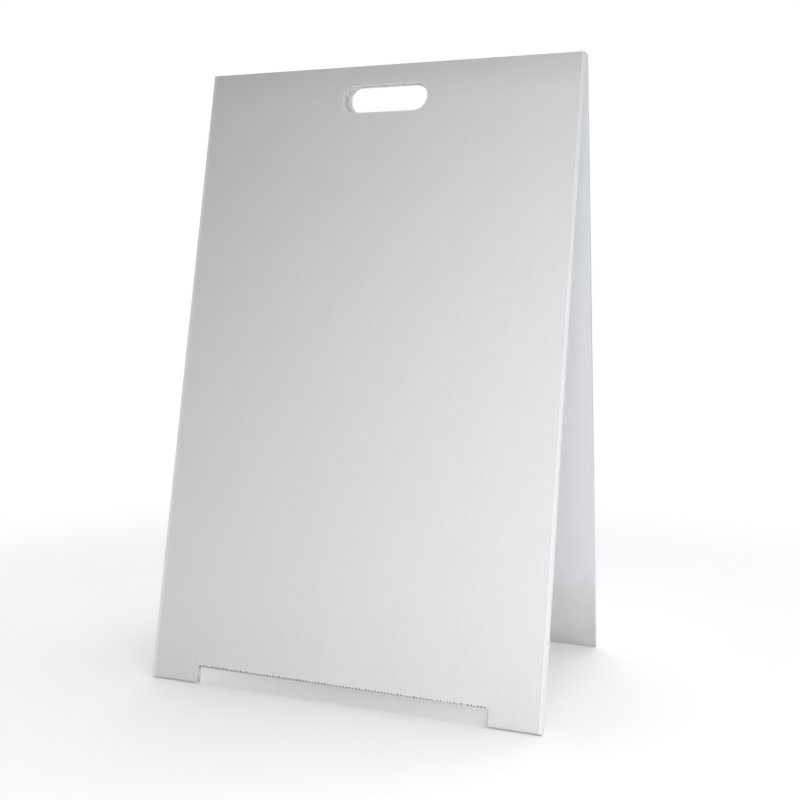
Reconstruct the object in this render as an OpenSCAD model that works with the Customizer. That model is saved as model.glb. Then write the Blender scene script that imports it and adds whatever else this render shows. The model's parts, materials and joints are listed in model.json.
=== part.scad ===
// Folding A-frame sandwich board in twin-wall fluted plastic sheet.
// One die-cut sheet is scored across its flutes and folded over, so it makes
// two panels that hang from one living hinge along the ridge. Each panel is a
// smooth outer liner, a smooth inner liner and the flute webs between them,
// closed at both sides by an edge web. A handle slot goes through both panels
// under the ridge, and a shallow notch along the bottom leaves two feet.
//
// Millimetres. X runs along the ridge, -Y is the front, +Z is up.
// The origin is on the floor, under the middle of the ridge.

/* [Board] */
// Width of the board, along the ridge
board_w = 609.6; // [450:0.1:760]
// Length of each panel, from the ridge down the slope to the feet
panel_len = 962; // [700:1:1250]
// Angle of each panel from upright when the board stands open
lean = 11.7; // [6:0.05:18]

/* [Fluted sheet] */
// Thickness of the sheet over both liners
sheet_t = 10; // [6:0.5:13]
// Thickness of each smooth liner
liner_t = 0.8; // [0.5:0.1:1.2]
// Thickness of the webs between the flutes
web_t = 0.5; // [0.3:0.1:1]
// Thickness of the web that closes each side of the sheet
edge_t = 0.8; // [0.5:0.1:1.5]
// Number of flutes across the width
flute_count = 124; // [60:1:160]

/* [Handle slot] */
// Length of the slot, along the ridge
slot_w = 138; // [100:1:200]
// Height of the slot, down the slope
slot_h = 42.5; // [30:0.5:60]
// Middle of the front slot, below the top of the panel
slot_drop_front = 54; // [45:0.5:90]
// Middle of the rear slot, below the top of the panel
slot_drop_rear = 51; // [45:0.5:90]
// Middle of the front slot, to the right of the board's middle
slot_shift_front = -2; // [-20:0.5:20]
// Middle of the rear slot, to the right of the board's middle
slot_shift_rear = -4; // [-20:0.5:20]

/* [Feet] */
// Width of each foot
foot_w = 78; // [40:1:150]
// Height of the notch between the feet
notch_h = 23; // [10:0.5:60]

/* [Ridge] */
// Half the gap left between the two inner liners when folded shut
fold_gap = 0.3; // [0.2:0.05:1]
// Distance from the fold line to the cut end of each panel
score_gap = 0.7; // [0.6:0.05:1.5]
// Radius of the living hinge's round web
hinge_r = 0.6; // [0.3:0.05:0.7]

/* [Hidden] */
$fn = 64;

sheet_white = [0.93, 0.94, 0.95];
web_white = [0.86, 0.87, 0.89];

// Distance of the fold line above the floor, with the feet on the floor
ridge_z = (panel_len + score_gap) * cos(lean) - fold_gap * sin(lean);
// From one web to the next
pitch = (board_w - edge_t) / flute_count;
// Where the space between the liners starts and ends, from the fold plane
core_in = fold_gap + liner_t;
core_out = fold_gap + sheet_t - liner_t;
// Through cuts run this far past the sheet
over = 5;

// Puts a panel that hangs straight down from the fold line into its place.
// In that hanging panel -Y is outwards, and the fold line is the X axis.
module front_place() { translate([0, 0, ridge_z]) rotate([-lean, 0, 0]) children(); }
module rear_place() { mirror([0, 1, 0]) front_place() children(); }

// A slab of the hanging panel, from depth a to depth b outwards
module slab(a, b) {
    translate([-board_w / 2, -b, -(score_gap + panel_len)])
        cube([board_w, b - a, panel_len]);
}

// The slot: straight in the middle, half round at both ends
module slot_cut(drop, shift) {
    r = slot_h / 2;
    half = slot_w / 2 - r;
    translate([shift, over, -(score_gap + drop)]) {
        translate([-half, -(sheet_t + 2 * over), -r]) cube([2 * half, sheet_t + 2 * over, slot_h]);
        for (sx = [-1, 1])
            translate([sx * half, 0, 0]) rotate([90, 0, 0]) cylinder(h = sheet_t + 2 * over, r = r);
    }
}

// The notch that leaves the two feet
module notch_cut() {
    translate([-(board_w / 2 - foot_w), -(sheet_t + over), -(score_gap + panel_len) - over])
        cube([board_w - 2 * foot_w, sheet_t + 2 * over, notch_h + over]);
}

// One smooth liner, from depth a to depth b, with its slot and notch
module liner(a, b, drop, shift) {
    difference() {
        slab(a, b);
        slot_cut(drop, shift);
        notch_cut();
    }
}

// All the webs between the two sides, cut back at the slot and the notch
module webs(drop, shift) {
    difference() {
        union() {
            for (i = [1 : flute_count - 1])
                translate([-board_w / 2 + edge_t / 2 + i * pitch - web_t / 2, -core_out, -(score_gap + panel_len)])
                    cube([web_t, core_out - core_in, panel_len]);
        }
        slot_cut(drop, shift);
        notch_cut();
    }
}

// The two webs that close the sides of a panel
module edge_pair() {
    for (sx = [0, 1])
        translate([-board_w / 2 + sx * (board_w - edge_t), -core_out, -(score_gap + panel_len)])
            cube([edge_t, core_out - core_in, panel_len]);
}

module front_outer_liner() { color(sheet_white) front_place() liner(core_out, fold_gap + sheet_t, slot_drop_front, slot_shift_front); }
module front_flute_webs() { color(web_white) front_place() webs(slot_drop_front, slot_shift_front); }
module front_inner_liner() { color(sheet_white) front_place() liner(fold_gap, core_in, slot_drop_front, slot_shift_front); }
module front_edge_webs() { color(sheet_white) front_place() edge_pair(); }

module rear_outer_liner() { color(sheet_white) rear_place() liner(core_out, fold_gap + sheet_t, slot_drop_rear, slot_shift_rear); }
module rear_flute_webs() { color(web_white) rear_place() webs(slot_drop_rear, slot_shift_rear); }
module rear_inner_liner() { color(sheet_white) rear_place() liner(fold_gap, core_in, slot_drop_rear, slot_shift_rear); }
module rear_edge_webs() { color(sheet_white) rear_place() edge_pair(); }

// The living hinge: what is left of the inner liner at the score. It runs the
// whole width on the fold line, with a neck down to the front inner liner.
module ridge_hinge() {
    color(sheet_white) front_place() {
        translate([-board_w / 2, 0, 0]) rotate([0, 90, 0]) cylinder(h = board_w, r = hinge_r);
        translate([-board_w / 2, -(fold_gap + liner_t / 2), -score_gap]) cube([board_w, liner_t / 2, score_gap]);
    }
}

front_outer_liner();
front_flute_webs();
front_inner_liner();
front_edge_webs();
rear_outer_liner();
rear_flute_webs();
rear_inner_liner();
rear_edge_webs();
ridge_hinge();
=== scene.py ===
import json
import math

import bmesh
import bpy
import numpy as np
from mathutils import Matrix, Vector


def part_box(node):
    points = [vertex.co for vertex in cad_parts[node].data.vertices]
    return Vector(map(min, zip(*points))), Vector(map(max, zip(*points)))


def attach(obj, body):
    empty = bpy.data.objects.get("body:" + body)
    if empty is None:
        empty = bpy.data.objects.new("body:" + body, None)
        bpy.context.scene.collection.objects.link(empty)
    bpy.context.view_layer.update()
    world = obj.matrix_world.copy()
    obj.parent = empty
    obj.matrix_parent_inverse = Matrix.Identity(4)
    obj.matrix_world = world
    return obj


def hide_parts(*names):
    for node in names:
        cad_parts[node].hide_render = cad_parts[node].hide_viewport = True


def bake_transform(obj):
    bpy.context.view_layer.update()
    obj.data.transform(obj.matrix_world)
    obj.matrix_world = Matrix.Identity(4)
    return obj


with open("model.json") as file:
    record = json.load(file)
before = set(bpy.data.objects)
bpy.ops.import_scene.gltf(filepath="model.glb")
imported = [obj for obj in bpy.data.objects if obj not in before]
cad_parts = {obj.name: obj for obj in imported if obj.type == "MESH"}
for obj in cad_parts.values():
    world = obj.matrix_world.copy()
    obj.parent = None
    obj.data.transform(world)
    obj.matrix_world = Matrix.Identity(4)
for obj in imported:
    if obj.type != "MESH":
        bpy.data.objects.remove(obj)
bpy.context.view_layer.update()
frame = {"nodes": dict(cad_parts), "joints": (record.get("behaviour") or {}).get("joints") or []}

# ---------------------------------------------------------------- dimensions
# Metres, the same numbers as the CAD; the asserts below hold the board's width and the ridge's height to it.
BOARD_W = 0.6096
PANEL_LEN = 0.962
LEAN = math.radians(11.7)
SHEET_T = 0.010
LINER_T = 0.0008
WEB_T = 0.0005
EDGE_T = 0.0008
FLUTES = 124
SLOT_W = 0.138
SLOT_H = 0.0425
DROP = {"front": 0.054, "rear": 0.051}
SHIFT = {"front": -0.002, "rear": -0.004}
FOOT_W = 0.078
NOTCH_H = 0.023
FOLD_GAP = 0.0003
SCORE_GAP = 0.0007

RIDGE_Z = frame["joints"][0]["pos_m"][2]
PITCH = (BOARD_W - EDGE_T) / FLUTES
HALF = BOARD_W / 2
S_TOP = SCORE_GAP
S_END = SCORE_GAP + PANEL_LEN
S_NOTCH = S_END - NOTCH_H
X_NOTCH = HALF - FOOT_W

lo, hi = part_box("front_outer_liner")
assert abs(hi.x - HALF) < 2e-4 and abs(lo.x + HALF) < 2e-4
assert abs(RIDGE_Z - (S_END * math.cos(LEAN) - FOLD_GAP * math.sin(LEAN))) < 2e-4


def place(side, x, n, s):
    """Hanging-panel coordinates to the row frame: x along the ridge, n outwards
    from the fold plane, s down the slope from the fold line."""
    y = -n * math.cos(LEAN) - s * math.sin(LEAN)
    z = n * math.sin(LEAN) - s * math.cos(LEAN) + RIDGE_Z
    return x, (y if side == "front" else -y), z


# ------------------------------------------------------------------- helpers
def rng(seed):
    return np.random.default_rng(seed)


def smooth_noise(x, s, seed, terms=7, wx=(2.0, 9.0), ws=(1.0, 5.0)):
    """A slow, repeatable ripple over a panel, from -1 to 1."""
    r = rng(seed)
    out = np.zeros(np.broadcast(x, s).shape)
    for _ in range(terms):
        a, b = r.uniform(*wx), r.uniform(*ws)
        p, q = r.uniform(0, 2 * math.pi, 2)
        out = out + np.sin(a * x * 2 * math.pi + p) * np.sin(b * s * 2 * math.pi + q)
    return out / terms


def new_object(name, verts, faces, smooth=True):
    mesh = bpy.data.meshes.new(name)
    mesh.from_pydata([tuple(v) for v in verts], [], [tuple(f) for f in faces])
    mesh.validate()
    mesh.update()
    if smooth:
        mesh.polygons.foreach_set("use_smooth", [True] * len(mesh.polygons))
    obj = bpy.data.objects.new(name, mesh)
    bpy.context.scene.collection.objects.link(obj)
    return obj


def fix_normals(obj):
    bm = bmesh.new()
    bm.from_mesh(obj.data)
    bmesh.ops.recalc_face_normals(bm, faces=bm.faces)
    bm.to_mesh(obj.data)
    bm.free()


def sharp_by_angle(obj, degrees):
    """Smooth shading, split where two faces meet at more than the angle."""
    bm = bmesh.new()
    bm.from_mesh(obj.data)
    limit = math.radians(degrees)
    for e in bm.edges:
        e.smooth = not (len(e.link_faces) == 2 and e.calc_face_angle(0.0) > limit)
    for f in bm.faces:
        f.smooth = True
    bm.to_mesh(obj.data)
    bm.free()


def set_float(obj, name, values):
    att = obj.data.attributes.get(name) or obj.data.attributes.new(name, "FLOAT", "POINT")
    att.data.foreach_set("value", np.asarray(values, np.float32))


# ----------------------------------------------------------- panel geometry
def cell_phase(x):
    """0 at a web, 1 in the middle between two webs."""
    u = (x + HALF - EDGE_T / 2) / PITCH
    return 0.5 - 0.5 * np.cos(2 * math.pi * u)


def columns(side):
    """Column positions: six to a flute, the notch's sides, and a close set
    round the two half-round ends of the slot."""
    xs = set()
    per = 6
    for i in range(FLUTES * per + 1):
        xs.add(round(-HALF + EDGE_T / 2 + i * PITCH / per, 7))
    xs |= {round(-HALF, 7), round(HALF, 7)}
    r = SLOT_H / 2
    cx = SHIFT[side]
    special = [-X_NOTCH, X_NOTCH]
    for k in range(0, 17):
        a = math.pi / 2 * k / 16
        special.append(cx - (SLOT_W / 2 - r) - r * math.sin(a))
        special.append(cx + (SLOT_W / 2 - r) + r * math.sin(a))
    out = sorted(xs)
    # a special column replaces any ordinary one that is too close to it
    out = [x for x in out if all(abs(x - q) > 0.0003 for q in special) or abs(abs(x) - HALF) < 1e-6]
    out = sorted(out + [round(q, 7) for q in special])
    keep = [out[0]]
    for x in out[1:]:
        if x - keep[-1] > 2e-6:
            keep.append(x)
    return np.array(keep)


def slot_edges(side, x):
    """Upper and lower edge of the slot at x, both at its middle outside it."""
    r = SLOT_H / 2
    mid = S_TOP + DROP[side]
    dx = abs(x - SHIFT[side]) - (SLOT_W / 2 - r)
    if dx >= r - 1e-6:
        return mid, mid, False
    h = r if dx <= 0 else math.sqrt(max(r * r - dx * dx, 0.0))
    return mid - h, mid + h, True


def spread(a, b, count, edge_steps=(0.0005, 0.0012, 0.0024, 0.0045)):
    """Row positions from a to b, close together at both ends."""
    length = b - a
    steps = [e for e in edge_steps if e < length * 0.33]
    scale = min(1.0, length / 0.03)
    inner = np.linspace(a + steps[-1] * scale, b - steps[-1] * scale, count - 2 * len(steps)) if steps else np.linspace(a, b, count)
    if not steps:
        return inner
    head = [a] + [a + e * scale for e in steps[:-1]]
    tail = [b - e * scale for e in reversed(steps[:-1])] + [b]
    return np.array(head + list(inner) + tail)


def edge_distance(side, x, s):
    """Distance from a point of the panel to the nearest cut edge."""
    r = SLOT_H / 2
    px = np.maximum(np.abs(x - SHIFT[side]) - (SLOT_W / 2 - r), 0)
    slot = np.abs(np.hypot(px, s - (S_TOP + DROP[side])) - r)
    top = s - S_TOP
    inside_foot = np.abs(x) >= X_NOTCH - 1e-6
    foot = np.where(inside_foot, S_END - s, 9.0)
    flank = np.where(s > S_NOTCH - 1e-6, np.abs(np.abs(x) - X_NOTCH), np.hypot(np.maximum(np.abs(x) - X_NOTCH, 0), S_NOTCH - s))
    return slot, top, foot, flank


def liner(side, which):
    """One liner of a panel as a closed skin: a grid that follows the slot, the
    notch and the feet, sunk a little between the webs, pressed in and torn a
    little between the webs where the die cut it, and rounded at its rim."""
    name = f"{side}_{which}_skin"
    outer = which == "outer"
    if outer:
        n_face, n_back = FOLD_GAP + SHEET_T, FOLD_GAP + SHEET_T - LINER_T
        inward = -1.0
    else:
        n_face, n_back = FOLD_GAP, FOLD_GAP + LINER_T
        inward = 1.0
    xs = columns(side)
    nu, nl, nf = 14, 34, 12
    nx = len(xs)
    seed = {"front": 11, "rear": 23}[side] + (0 if outer else 5)
    torn = rng(seed + 100).uniform(0.78, 1.18, FLUTES + 1)
    nibble = rng(seed + 101).uniform(-1, 1, 4000)

    def torn_at(x):
        i = np.clip(((x + HALF - EDGE_T / 2) / PITCH).astype(int), 0, FLUTES)
        return torn[i]

    tear = 0.0037 if outer else 0.0006
    nick = 0.0009 if outer else 0.0002
    verts, faces = [], []
    index = {}

    def vertex(key, x, s):
        if key not in index:
            index[key] = len(verts)
            verts.append((x, s))
        return index[key]

    for i, x in enumerate(xs):
        up, down, cut = slot_edges(side, x)
        foot = abs(x) >= X_NOTCH - 1e-7
        for j, s in enumerate(spread(S_TOP, up, nu)):
            key = ("u", i, j) if (j < nu - 1 or cut) else ("m", i, 0)
            vertex(key, x, s)
        # the torn rim between two webs stands a little back from the die's line
        phase = float(cell_phase(np.array(x)))
        ragged = float(torn_at(np.array([x]))[0])
        back = tear * phase ** 0.5 * ragged * (1 + 0.13 * nibble[i]) * (1 - 0.5 * x)
        end = S_NOTCH if foot else S_NOTCH - back
        if abs(abs(x) - X_NOTCH) < 1e-7:
            end = S_NOTCH
        for j, s in enumerate(spread(down, end, nl)):
            key = ("m", i, 0) if (j == 0 and not cut) else (("l", i, j) if j < nl - 1 else ("n", i, 0))
            vertex(key, x, s)
        if foot:
            for j, s in enumerate(spread(S_NOTCH, S_END - nick * phase * ragged, nf)):
                key = ("n", i, 0) if j == 0 else ("f", i, j)
                vertex(key, x, s)

    def get(block, i, j, cut):
        if block == "u":
            return index[("u", i, j)] if (j < nu - 1 or cut) else index[("m", i, 0)]
        if block == "l":
            if j == 0 and not cut:
                return index[("m", i, 0)]
            return index[("l", i, j)] if j < nl - 1 else index[("n", i, 0)]
        return index[("n", i, 0)] if j == 0 else index[("f", i, j)]

    cuts = [slot_edges(side, x)[2] for x in xs]
    for i in range(nx - 1):
        for block, rows in (("u", nu), ("l", nl), ("f", nf)):
            if block == "f" and not (abs(xs[i]) >= X_NOTCH - 1e-7 and abs(xs[i + 1]) >= X_NOTCH - 1e-7 and xs[i] * xs[i + 1] > 0):
                continue
            for j in range(rows - 1):
                quad = [get(block, i, j, cuts[i]), get(block, i + 1, j, cuts[i + 1]),
                        get(block, i + 1, j + 1, cuts[i + 1]), get(block, i, j + 1, cuts[i])]
                if len(set(quad)) == 4:
                    faces.append(quad)
                elif len(set(quad)) == 3:
                    faces.append([q for k, q in enumerate(quad) if q not in quad[:k]])

    flat = np.array(verts)
    X, S = flat[:, 0], flat[:, 1]
    slot, top, foot, flank = edge_distance(side, X, S)
    cell = cell_phase(X)
    inside = np.clip((HALF - np.abs(X)) / 0.004, 0, 1)
    # sag between the webs, a slow unevenness of the sheet, and the press of the die
    dip = 0.00009 * cell ** 0.8
    dip = dip + 0.00010 * (0.5 + 0.5 * smooth_noise(X, S, seed))
    dip = dip + 0.00004 * (0.5 + 0.5 * np.sin(2 * math.pi * X / 0.037 + 3 * smooth_noise(X, S, seed + 1)))
    die = np.exp(-slot / 0.0016) * 0.8 + np.exp(-flank / 0.0014) + np.exp(-foot / 0.0016) * 0.9 + np.exp(-top / 0.0012) * 0.5
    die = np.clip(die, 0, 1.15)
    dip = dip + die * (0.00018 + 0.00030 * cell)
    dip = np.clip(dip * (0.25 + 0.75 * inside), 0, LINER_T * 0.9)
    # painted shade: a thin dark line down the notch's flanks, much stronger on the +X side; the darkening at the
    # feet's bottoms is wear, and a fainter darker line runs along the top edge
    side_rim = np.where(S > S_NOTCH - 0.0006, np.abs(np.abs(X) - X_NOTCH), 9.0)
    wear_and_shade = np.clip(np.where(X > 0, 1.15, 0.3) * np.exp(-(side_rim / 0.0015) ** 2) + 0.8 * np.exp(-foot / 0.0012) + 0.35 * np.exp(-top / 0.0010), 0, 1)
    # painted light: the last flute cell at each side of the outer liner is lighter
    glow = np.clip((np.abs(X) - (HALF - EDGE_T / 2 - PITCH * 0.96)) / 0.0006, 0, 1) if outer else np.zeros(len(X))
    over_notch = np.where(np.abs(X) < X_NOTCH, S_NOTCH - S, 9.0)
    # painted light: a lighter rim round the slot and a lighter band about 4 mm above the notch's edge
    painted_light_rim = 1.0 * np.exp(-(slot / 0.0018) ** 2) + 0.45 * np.exp(-((over_notch - 0.0042) / 0.0016) ** 2)
    glow = np.clip(glow + painted_light_rim, 0, 1)
    # painted shade: darker inside the flutes near their mouths over the notch and at the feet
    mouth = np.minimum(np.abs(over_notch), foot)
    painted_mouth_shade = np.clip(np.exp(-(mouth / 0.0045) ** 2), 0, 1)

    # closed skin: the face, the back, and a rounded rim between them
    count = len(flat)
    edges = {}
    for f in faces:
        for k in range(len(f)):
            a, b = f[k], f[(k + 1) % len(f)]
            edges[(a, b)] = edges.get((a, b), 0) + 1
    rim = [(a, b) for (a, b) in edges if (b, a) not in edges]
    # which way each rim point faces, in the plane of the panel, away from the sheet
    away = np.zeros((count, 2))
    for a, b in rim:
        d = flat[b] - flat[a]
        nrm = np.array([d[1], -d[0]])
        length = np.hypot(*nrm)
        if length > 0:
            away[a] += nrm / length
            away[b] += nrm / length
    centre_test = faces[0]
    mid = flat[centre_test].mean(0)
    a0, b0 = centre_test[0], centre_test[1]
    d = flat[b0] - flat[a0]
    if np.dot(np.array([d[1], -d[0]]), mid - flat[a0]) > 0:
        away = -away
    length = np.hypot(away[:, 0], away[:, 1])
    on_rim = length > 1e-9
    away[on_rim] /= length[on_rim][:, None]
    radius = 0.00022
    n_dip = n_face + inward * dip
    n_back_all = n_back + inward * dip * 0.35
    layers = []
    # the rim's arc: from the face, round its corner, down to the back
    profile = [(radius, 0.0), (radius * 0.3, radius * 0.3), (0.0, radius)]
    pos = flat - away * radius * on_rim[:, None]
    layers.append(np.column_stack([pos[:, 0], n_dip, pos[:, 1]]))
    for inset, depth in profile[1:]:
        pos = flat - away * inset * on_rim[:, None]
        layers.append(np.column_stack([pos[:, 0], n_dip + inward * depth, pos[:, 1]]))
    layers.append(np.column_stack([flat[:, 0], n_back_all, flat[:, 1]]))
    rim_points = sorted({a for e in rim for a in e})
    out_v = list(layers[0])
    rim_index = []
    for layer in layers[1:-1]:
        table = {}
        for p in rim_points:
            table[p] = len(out_v)
            out_v.append(layer[p])
        rim_index.append(table)
    back_start = len(out_v)
    out_v += list(layers[-1])
    out_f = [list(f) for f in faces] + [[back_start + q for q in reversed(f)] for f in faces]
    for a, b in rim:
        chain_a = [a] + [t[a] for t in rim_index] + [back_start + a]
        chain_b = [b] + [t[b] for t in rim_index] + [back_start + b]
        for k in range(len(chain_a) - 1):
            out_f.append([chain_a[k + 1], chain_b[k + 1], chain_b[k], chain_a[k]])
    pts = np.array(out_v)
    x, y, z = place(side, pts[:, 0], pts[:, 1], pts[:, 2])
    obj = new_object(name, np.column_stack([x, y, z]), out_f)
    fix_normals(obj)
    sharp_by_angle(obj, 50)
    full = lambda v, back=1.0: np.concatenate([v] + [v[rim_points]] * len(rim_index) + [v * back])
    set_float(obj, "wear_and_shade", full(wear_and_shade))
    # painted light: on the liner's back, inside the flutes, the colour is lightened round the slot, where light
    # would come through the thin sheet
    painted_flute_light = np.exp(-(slot / 0.012) ** 2)
    set_float(obj, "glow", np.concatenate([glow] + [glow[rim_points]] * len(rim_index) + [painted_flute_light]))
    # painted shade: none on the face, some on the rim, full on the back near the flute mouths
    rims = [painted_mouth_shade[rim_points] * w for w in (0.25, 0.7)]
    set_float(obj, "painted_mouth_shade", np.concatenate([painted_mouth_shade * 0.0] + rims + [painted_mouth_shade]))
    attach(obj, f"{side}_panel")
    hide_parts(f"{side}_{which}_liner")
    return obj


def edge_webs(side):
    """The two webs that close a panel's sides: slightly hollow outside from
    cooling, with small fillets where they run into the liners."""
    n0, n1 = FOLD_GAP + LINER_T, FOLD_GAP + SHEET_T - LINER_T
    rows = np.concatenate([[S_TOP], S_TOP + np.array([0.0004, 0.0012, 0.003]), np.linspace(S_TOP + 0.008, S_END - 0.008, 56), S_END - np.array([0.003, 0.0012, 0.0004]), [S_END]])
    t = np.linspace(0, 1, 13)
    verts, faces = [], []
    for sx in (-1, 1):
        base = len(verts)
        ring = []
        hollow = 0.00022 * np.sin(math.pi * t) ** 0.8
        for u, h in zip(t, hollow):
            ring.append((HALF - h, n0 + (n1 - n0) * u))
        fillet = 0.0007 * np.exp(-np.minimum(t, 1 - t) * (n1 - n0) / 0.0005)
        for u, h in zip(t[::-1], fillet[::-1]):
            ring.append((HALF - EDGE_T - h, n0 + (n1 - n0) * u))
        m = len(ring)
        wob = 0.00006 * smooth_noise(np.full(len(rows), 0.3 * sx), rows, 77 + sx, ws=(4.0, 14.0))
        for k, s in enumerate(rows):
            for (x, n) in ring:
                verts.append((sx * (x - abs(wob[k]) * (1 if x > HALF - 0.0004 else 0)), n, s))
        for k in range(len(rows) - 1):
            for q in range(m):
                a, b = base + k * m + q, base + k * m + (q + 1) % m
                faces.append([a, b, b + m, a + m])
        faces.append([base + q for q in range(m)])
        faces.append([base + (len(rows) - 1) * m + q for q in reversed(range(m))])
    pts = np.array(verts)
    x, y, z = place(side, pts[:, 0], pts[:, 1], pts[:, 2])
    obj = new_object(f"{side}_side_webs", np.column_stack([x, y, z]), faces)
    fix_normals(obj)
    sharp_by_angle(obj, 40)
    set_float(obj, "wear_and_shade", np.clip(np.exp(-(S_END - pts[:, 2]) / 0.004) + 0.3 * np.exp(-(pts[:, 2] - S_TOP) / 0.002), 0, 1))
    # painted light: the side webs are lightened all over
    set_float(obj, "glow", np.ones(len(pts)))
    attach(obj, f"{side}_panel")
    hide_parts(f"{side}_edge_webs")
    return obj


def living_hinge():
    """The strip of inner liner that is left at the score: it leaves one inner
    liner, thins and arches over the fold line, and joins the other."""
    prof = []  # (y, z) of the strip's middle line and half thickness
    def at(side, n, s):
        _, y, z = place(side, 0.0, n, s)
        return y, z
    mid = FOLD_GAP + LINER_T / 2
    a = at("front", mid, S_TOP)
    b = at("rear", mid, S_TOP)
    count = 15
    for k in range(count):
        u = k / (count - 1)
        y = a[0] + (b[0] - a[0]) * (0.5 - 0.5 * math.cos(math.pi * u))
        z = a[1] + (RIDGE_Z + 0.00055 - a[1]) * math.sin(math.pi * u) ** 0.75
        prof.append((y, z, 0.00040 - 0.00013 * math.sin(math.pi * u)))
    nx = 620
    xs = np.linspace(-HALF, HALF, nx)
    r = rng(5)
    crease = r.normal(0, 1, nx)
    crease = np.convolve(crease, np.ones(5) / 5, "same")
    verts, faces, wear_and_shade = [], [], []
    m = count
    for i, x in enumerate(xs):
        up, down = [], []
        for k, (y, z, h) in enumerate(prof):
            k0, k1 = max(k - 1, 0), min(k + 1, count - 1)
            ty, tz = prof[k1][0] - prof[k0][0], prof[k1][1] - prof[k0][1]
            ln = math.hypot(ty, tz)
            ny, nz = -tz / ln, ty / ln
            w = math.sin(math.pi * k / (count - 1))
            bump = 0.00006 * crease[i] * w
            up.append((x, y + ny * (h + bump), z + nz * (h + bump)))
            down.append((x, y - ny * h, z - nz * h))
        verts += up + down[::-1]
    ring = 2 * m
    for i in range(nx - 1):
        for q in range(ring):
            a0, b0 = i * ring + q, i * ring + (q + 1) % ring
            faces.append([a0, b0, b0 + ring, a0 + ring])
    faces.append(list(range(ring)))
    faces.append([(nx - 1) * ring + q for q in reversed(range(ring))])
    obj = new_object("ridge_living_hinge", verts, faces)
    fix_normals(obj)
    sharp_by_angle(obj, 60)
    set_float(obj, "wear_and_shade", np.zeros(len(verts)))
    set_float(obj, "glow", np.full(len(verts), 0.6))
    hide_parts("ridge_hinge")
    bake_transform(obj)
    return obj


# ----------------------------------------------------------------- materials
def nodes_of(mat):
    mat.use_nodes = True
    nt = mat.node_tree
    bsdf = nt.nodes["Principled BSDF"]
    return nt, bsdf


def math_node(nt, op, a, b=None, clamp=False):
    n = nt.nodes.new("ShaderNodeMath")
    n.operation = op
    n.use_clamp = clamp
    for k, v in enumerate((a, b)):
        if v is None:
            continue
        if hasattr(v, "links") or isinstance(v, bpy.types.NodeSocket):
            nt.links.new(v, n.inputs[k])
        else:
            n.inputs[k].default_value = v
    return n.outputs[0]


def mix_colour(nt, factor, a, b, mode="MIX"):
    n = nt.nodes.new("ShaderNodeMix")
    n.data_type = "RGBA"
    n.blend_type = mode
    for sock, v in ((n.inputs[0], factor), (n.inputs[6], a), (n.inputs[7], b)):
        if isinstance(v, bpy.types.NodeSocket):
            nt.links.new(v, sock)
        elif isinstance(v, (int, float)):
            sock.default_value = v
        else:
            sock.default_value = (*v, 1.0)
    return n.outputs[2]


def noise(nt, vector, scale, detail=3.0, rough=0.55):
    n = nt.nodes.new("ShaderNodeTexNoise")
    n.inputs["Scale"].default_value = scale
    n.inputs["Detail"].default_value = detail
    n.inputs["Roughness"].default_value = rough
    nt.links.new(vector, n.inputs["Vector"])
    return n.outputs["Fac"]


def scaled(nt, vector, scale, rotation=(0, 0, 0), location=(0, 0, 0)):
    n = nt.nodes.new("ShaderNodeMapping")
    n.inputs["Scale"].default_value = scale
    n.inputs["Rotation"].default_value = rotation
    n.inputs["Location"].default_value = location
    nt.links.new(vector, n.inputs["Vector"])
    return n.outputs[0]


def ramp(nt, value, low, high, a=0.0, b=1.0):
    n = nt.nodes.new("ShaderNodeMapRange")
    n.inputs["From Min"].default_value = low
    n.inputs["From Max"].default_value = high
    n.inputs["To Min"].default_value = a
    n.inputs["To Max"].default_value = b
    nt.links.new(value, n.inputs["Value"])
    return n.outputs[0]


def attribute(nt, name):
    n = nt.nodes.new("ShaderNodeAttribute")
    n.attribute_name = name
    return n.outputs["Fac"]


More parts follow.
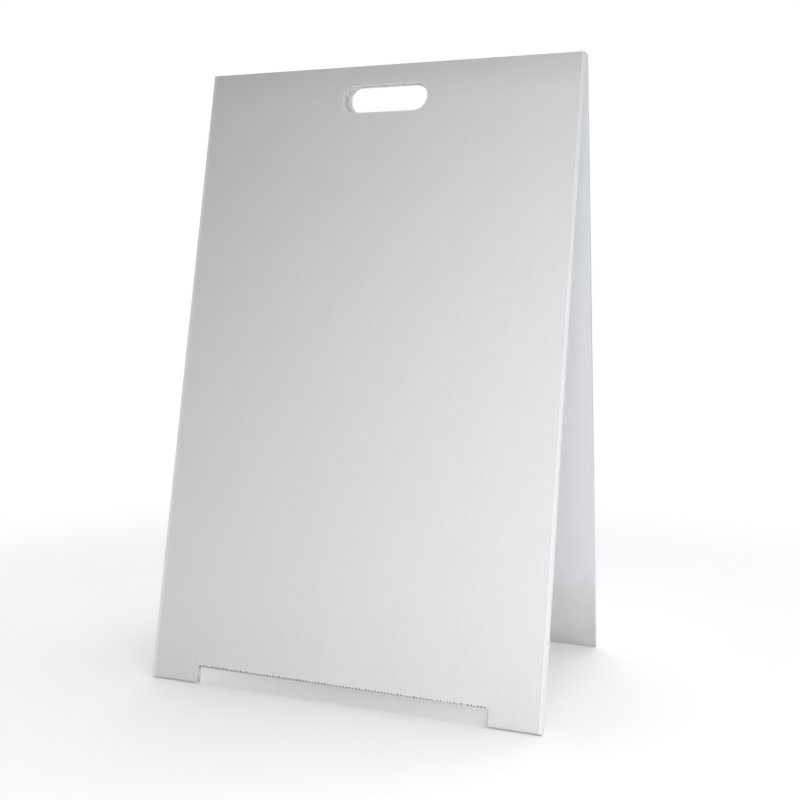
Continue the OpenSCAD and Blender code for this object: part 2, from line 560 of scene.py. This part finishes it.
def polypropylene(name, base, seed, webs=True, rough=0.46, wear_and_painted_light_on=True, subsurface=0.12, low_dust_and_shade=0.10,
                  handled=0.0):
    """White extruded polypropylene: fine die lines along the flutes, the webs just showing through, a faint
    cloudiness, scuffs, dust low down (painted shade too where its amount is raised) and a worn rim, with painted
    shade along the notch's flanks and in the flute mouths, and painted light where the glow attribute is set."""
    mat = bpy.data.materials.new(name)
    nt, bsdf = nodes_of(mat)
    coord = nt.nodes.new("ShaderNodeTexCoord").outputs["Object"]
    off = (0.37 * seed, 0.11 * seed, 0.23 * seed)
    # die lines: noise drawn out along the slope
    streak = noise(nt, scaled(nt, coord, (420.0, 2.0, 2.6), location=off), 1.0, 3.0, 0.6)
    broad = noise(nt, scaled(nt, coord, (46.0, 0.8, 0.9), location=off), 1.0, 2.0, 0.5)
    cloud = noise(nt, scaled(nt, coord, (3.4, 3.4, 3.4), location=off), 1.0, 3.0, 0.5)
    speck = noise(nt, scaled(nt, coord, (900.0, 900.0, 900.0), location=off), 1.0, 2.0, 0.6)
    smudge = noise(nt, scaled(nt, coord, (14.0, 14.0, 9.0), location=off), 1.0, 5.0, 0.62)
    colour = mix_colour(nt, ramp(nt, cloud, 0.3, 0.7), tuple(c * 0.985 for c in base), base)
    colour = mix_colour(nt, ramp(nt, broad, 0.3, 0.72, 0.0, 0.55), colour, (base[0] * 0.972, base[1] * 0.978, base[2] * 0.99))
    colour = mix_colour(nt, ramp(nt, streak, 0.35, 0.68, 0.0, 0.5), colour, tuple(c * 0.965 for c in base))
    if webs:
        sep = nt.nodes.new("ShaderNodeSeparateXYZ")
        nt.links.new(coord, sep.inputs[0])
        phase = math_node(nt, "MULTIPLY_ADD", sep.outputs[0], 2 * math.pi / PITCH)
        phase.node.inputs[2].default_value = 2 * math.pi * (HALF - EDGE_T / 2) / PITCH
        wave = math_node(nt, "COSINE", phase)
        line = ramp(nt, wave, 0.35, 1.0)
        amount = math_node(nt, "MULTIPLY", line, ramp(nt, cloud, 0.35, 0.7, 0.18, 0.5))
        colour = mix_colour(nt, amount, colour, tuple(c * 0.955 for c in base))
    # scuffs: sparse, thin and slightly grey
    scr = noise(nt, scaled(nt, coord, (60.0, 40.0, 9.0), rotation=(0.3, 0.5, 0.9), location=off), 1.0, 6.0, 0.72)
    scuff = ramp(nt, scr, 0.66, 0.74)
    scuff.node.clamp = True
    colour = mix_colour(nt, math_node(nt, "MULTIPLY", scuff, 0.10), colour, (0.55, 0.55, 0.56))
    # a warm haze of dust and scuffs low down; where its amount is raised, on the rear inner liner and the side webs,
    # it is painted shade as well
    high = nt.nodes.new("ShaderNodeSeparateXYZ")
    nt.links.new(coord, high.inputs[0])
    low_down = ramp(nt, math_node(nt, "ADD", high.outputs[2], ramp(nt, smudge, 0.3, 0.7, -0.03, 0.03)), 0.0, 0.17, 1.0, 0.0)
    low_down = math_node(nt, "POWER", low_down, 1.6)
    colour = mix_colour(nt, math_node(nt, "MULTIPLY", low_down, low_dust_and_shade), colour, (0.46, 0.42, 0.385))
    # a grey haze from hands, along the ridge and stronger towards +X
    if handled:
        near = ramp(nt, math_node(nt, "ADD", high.outputs[2], ramp(nt, smudge, 0.3, 0.7, -0.008, 0.008)),
                    RIDGE_Z - 0.060, RIDGE_Z)
        near = math_node(nt, "POWER", near, 1.3)
        near = math_node(nt, "MULTIPLY", near, ramp(nt, high.outputs[0], -HALF, HALF, 0.5 * handled, handled))
        colour = mix_colour(nt, near, colour, (0.46, 0.455, 0.46))
    if wear_and_painted_light_on:
        # darker along the cut edges: wear at the feet's bottoms, painted shade down the notch's flanks
        wear_and_shade = math_node(nt, "MULTIPLY", attribute(nt, "wear_and_shade"), ramp(nt, smudge, 0.30, 0.62, 0.5, 1.0))
        colour = mix_colour(nt, math_node(nt, "MULTIPLY", wear_and_shade, 0.75), colour, (0.36, 0.345, 0.34))
        # painted shade: darker inside the flute mouths
        colour = mix_colour(nt, math_node(nt, "MULTIPLY", attribute(nt, "painted_mouth_shade"), 0.85), colour, (0.38, 0.365, 0.357))
        # painted light: the colour is lightened towards white where the glow attribute is set
        glow = attribute(nt, "glow")
        colour = mix_colour(nt, math_node(nt, "MULTIPLY", glow, 0.75), colour, (0.97, 0.975, 0.985))
    nt.links.new(colour, bsdf.inputs["Base Color"])
    r = ramp(nt, smudge, 0.3, 0.7, rough - 0.05, rough + 0.07)
    r = math_node(nt, "ADD", r, ramp(nt, streak, 0.35, 0.65, -0.03, 0.03))
    r = math_node(nt, "ADD", r, math_node(nt, "MULTIPLY", scuff, 0.12))
    nt.links.new(r, bsdf.inputs["Roughness"])
    bsdf.inputs["IOR"].default_value = 1.49
    bsdf.inputs["Specular IOR Level"].default_value = 0.42
    bsdf.inputs["Subsurface Weight"].default_value = subsurface
    bsdf.inputs["Subsurface Radius"].default_value = (1.0, 1.0, 1.05)
    bsdf.inputs["Subsurface Scale"].default_value = 0.0022
    # bump: die lines, a fine grain and the scuffs
    h = math_node(nt, "MULTIPLY", streak, 0.7)
    h = math_node(nt, "ADD", h, math_node(nt, "MULTIPLY", speck, 0.25))
    h = math_node(nt, "SUBTRACT", h, math_node(nt, "MULTIPLY", scuff, 0.15))
    bump = nt.nodes.new("ShaderNodeBump")
    bump.inputs["Strength"].default_value = 0.16
    bump.inputs["Distance"].default_value = 0.00012
    nt.links.new(h, bump.inputs["Height"])
    nt.links.new(bump.outputs[0], bsdf.inputs["Normal"])
    return mat


def shade_web_ends(mat):
    """Painted shade: darkens a web over the notch, towards its lower end, by height above the floor."""
    nt = mat.node_tree
    bsdf = nt.nodes["Principled BSDF"]
    coord = nt.nodes.new("ShaderNodeTexCoord").outputs["Object"]
    sep = nt.nodes.new("ShaderNodeSeparateXYZ")
    nt.links.new(coord, sep.inputs[0])
    height = math_node(nt, "ADD", sep.outputs[2], ramp(nt, noise(nt, coord, 260.0, 2.0), 0.3, 0.7, -0.0015, 0.0015))
    low = (S_END - S_NOTCH) * math.cos(LEAN)
    across = math_node(nt, "ABSOLUTE", sep.outputs[0])
    amount = math_node(nt, "MULTIPLY", ramp(nt, height, low + 0.004, low + 0.015, 0.88, 0.0), ramp(nt, across, X_NOTCH, X_NOTCH + 0.001, 1.0, 0.0))
    old = bsdf.inputs["Base Color"].links[0].from_socket
    nt.links.new(mix_colour(nt, amount, old, (0.38, 0.365, 0.357)), bsdf.inputs["Base Color"])


def floor_material():
    """Matt white sheet that runs out into the white of the studio."""
    mat = bpy.data.materials.new("studio_floor")
    nt, bsdf = nodes_of(mat)
    coord = nt.nodes.new("ShaderNodeTexCoord").outputs["Object"]
    n = noise(nt, scaled(nt, coord, (1.3, 1.3, 1.3)), 1.0, 4.0)
    colour = mix_colour(nt, ramp(nt, n, 0.3, 0.7), (0.895, 0.895, 0.895), (0.92, 0.92, 0.92))
    nt.links.new(colour, bsdf.inputs["Base Color"])
    bsdf.inputs["Roughness"].default_value = 0.8
    bsdf.inputs["Specular IOR Level"].default_value = 0.15
    length = nt.nodes.new("ShaderNodeVectorMath")
    length.operation = "LENGTH"
    nt.links.new(coord, length.inputs[0])
    fade = nt.nodes.new("ShaderNodeMapRange")
    fade.interpolation_type = "SMOOTHSTEP"
    fade.inputs["From Min"].default_value = 0.75
    fade.inputs["To Min"].default_value = 0.2
    fade.inputs["From Max"].default_value = 1.5
    nt.links.new(length.outputs["Value"], fade.inputs["Value"])
    glow = nt.nodes.new("ShaderNodeEmission")
    glow.inputs["Color"].default_value = (1.0, 1.0, 1.0, 1.0)
    glow.inputs["Strength"].default_value = 1.0
    mix = nt.nodes.new("ShaderNodeMixShader")
    nt.links.new(fade.outputs[0], mix.inputs[0])
    nt.links.new(bsdf.outputs[0], mix.inputs[1])
    nt.links.new(glow.outputs[0], mix.inputs[2])
    out = next(n for n in nt.nodes if n.type == "OUTPUT_MATERIAL")
    nt.links.new(mix.outputs[0], out.inputs["Surface"])
    return mat


# -------------------------------------------------------------------- camera
cam_data = bpy.data.cameras.new("camera")
cam = bpy.data.objects.new("camera", cam_data)
bpy.context.scene.collection.objects.link(cam)
right = Vector((0.9374096, 0.3480796, 0.0101878))
up = Vector((-0.035485, 0.0663787, 0.9971633))
back = Vector((0.3464159, -0.935112, 0.0745756))
cam.matrix_world = Matrix((
    (right.x, up.x, back.x, 0.613656),
    (right.y, up.y, back.y, -1.602279),
    (right.z, up.z, back.z, 0.589954),
    (0, 0, 0, 1)))
cam_data.sensor_width = 36.0
cam_data.lens = 48.857
cam_data.shift_x = 0.0
cam_data.shift_y = -0.03014
cam_data.clip_start = 0.02
cam_data.clip_end = 60.0
cam_data.dof.use_dof = False
bpy.context.scene.camera = cam

# ------------------------------------------------------------------ the board
white = (0.860, 0.866, 0.880)
m_front = polypropylene("pp_front_outer", white, 1, handled=0.30)
m_front_in = polypropylene("pp_front_inner", white, 2)
m_rear = polypropylene("pp_rear_outer", white, 3, handled=0.30)
# painted shade: the rear inner liner is a slightly bluer copy of the white with much more darkening low down, for
# the shade inside the tent
m_rear_in = polypropylene("pp_rear_inner", (0.858, 0.868, 0.888), 4, low_dust_and_shade=0.56)
# painted shade: the side webs are a slightly darker copy of the white with more darkening low down
m_edge = polypropylene("pp_side_web", (0.85, 0.856, 0.865), 5, webs=False, rough=0.42, low_dust_and_shade=0.2)
# painted light: the webs are a lighter copy of the white, lifting them where they sit in shade inside the slot and
# the flute mouths
m_web = polypropylene("pp_flute_web", (0.925, 0.93, 0.94), 6, webs=False, wear_and_painted_light_on=False, rough=0.5)
shade_web_ends(m_web)
m_hinge = polypropylene("pp_living_hinge", (0.90, 0.905, 0.91), 7, webs=False, rough=0.55)

for side, outer_mat, inner_mat in (("front", m_front, m_front_in), ("rear", m_rear, m_rear_in)):
    liner(side, "outer").data.materials.append(outer_mat)
    liner(side, "inner").data.materials.append(inner_mat)
    edge_webs(side).data.materials.append(m_edge)
    web = frame["nodes"][f"{side}_flute_webs"]
    if web.material_slots:
        for slot_ in web.material_slots:
            slot_.material = m_web
    else:
        web.data.materials.append(m_web)
living_hinge().data.materials.append(m_hinge)

# ------------------------------------------------------------ floor and light
FLOOR_R = 1.7
bm = bmesh.new()
bmesh.ops.create_circle(bm, cap_ends=True, segments=128, radius=FLOOR_R)
mesh = bpy.data.meshes.new("studio_floor")
bm.to_mesh(mesh)
bm.free()
floor = bpy.data.objects.new("studio_floor", mesh)
bpy.context.scene.collection.objects.link(floor)
floor.data.materials.append(floor_material())

# The studio: a big soft source overhead and behind, seen by the camera as plain white
world = bpy.data.worlds.new("studio")
bpy.context.scene.world = world
world.use_nodes = True
nt = world.node_tree
sky = nt.nodes.new("ShaderNodeTexCoord").outputs["Generated"]


def lobe(direction, power, strength):
    dot = nt.nodes.new("ShaderNodeVectorMath")
    dot.operation = "DOT_PRODUCT"
    dot.inputs[1].default_value = Vector(direction).normalized()
    nt.links.new(sky, dot.inputs[0])
    up_ = math_node(nt, "MAXIMUM", dot.outputs["Value"], 0.0)
    return math_node(nt, "MULTIPLY", math_node(nt, "POWER", up_, power), strength)


light_sum = lobe((0, 0.6, 1), 3.0, 2.6)
seen = nt.nodes.new("ShaderNodeBackground")
seen.inputs["Color"].default_value = (1.0, 1.0, 1.0, 1.0)
seen.inputs["Strength"].default_value = 1.0
cast = nt.nodes["Background"]
cast.inputs["Color"].default_value = (1.012, 0.99, 1.012, 1.0)
nt.links.new(light_sum, cast.inputs["Strength"])
both = nt.nodes.new("ShaderNodeMixShader")
nt.links.new(nt.nodes.new("ShaderNodeLightPath").outputs["Is Camera Ray"], both.inputs[0])
nt.links.new(cast.outputs[0], both.inputs[1])
nt.links.new(seen.outputs[0], both.inputs[2])
nt.links.new(both.outputs[0], nt.nodes["World Output"].inputs["Surface"])


def softbox(name, pos, target, size, power, colour=(1, 1, 1)):
    data = bpy.data.lights.new(name, "AREA")
    data.shape = "RECTANGLE"
    data.size, data.size_y = size
    data.energy = power
    data.color = colour
    obj = bpy.data.objects.new(name, data)
    bpy.context.scene.collection.objects.link(obj)
    obj.location = pos
    obj.rotation_euler = (Vector(target) - Vector(pos)).to_track_quat("-Z", "Y").to_euler()
    obj.visible_camera = False
    return obj


softbox("key_right", (1.0, -1.0, 0.8), (0.15, -0.1, 0.5), (0.5, 0.5), 4.5, (0.962, 1.006, 1.0))
softbox("low_front", (0.6, -1.5, 0.6), (0.1, -0.1, 0.4), (0.9, 0.7), 8.0, (1.0, 1.0, 0.985))
softbox("overhead_front", (0.3, -1.6, 2.8), (0, -0.8, 0), (1.6, 1.0), 1.6)
softbox("side_right", (1.40, -0.25, 1.40), (0.3, 0.1, 0.90), (0.5, 0.6), 1.1, (0.88, 0.95, 1.17))

bpy.context.scene.view_settings.view_transform = "Standard"
bpy.context.scene.view_settings.look = "None"
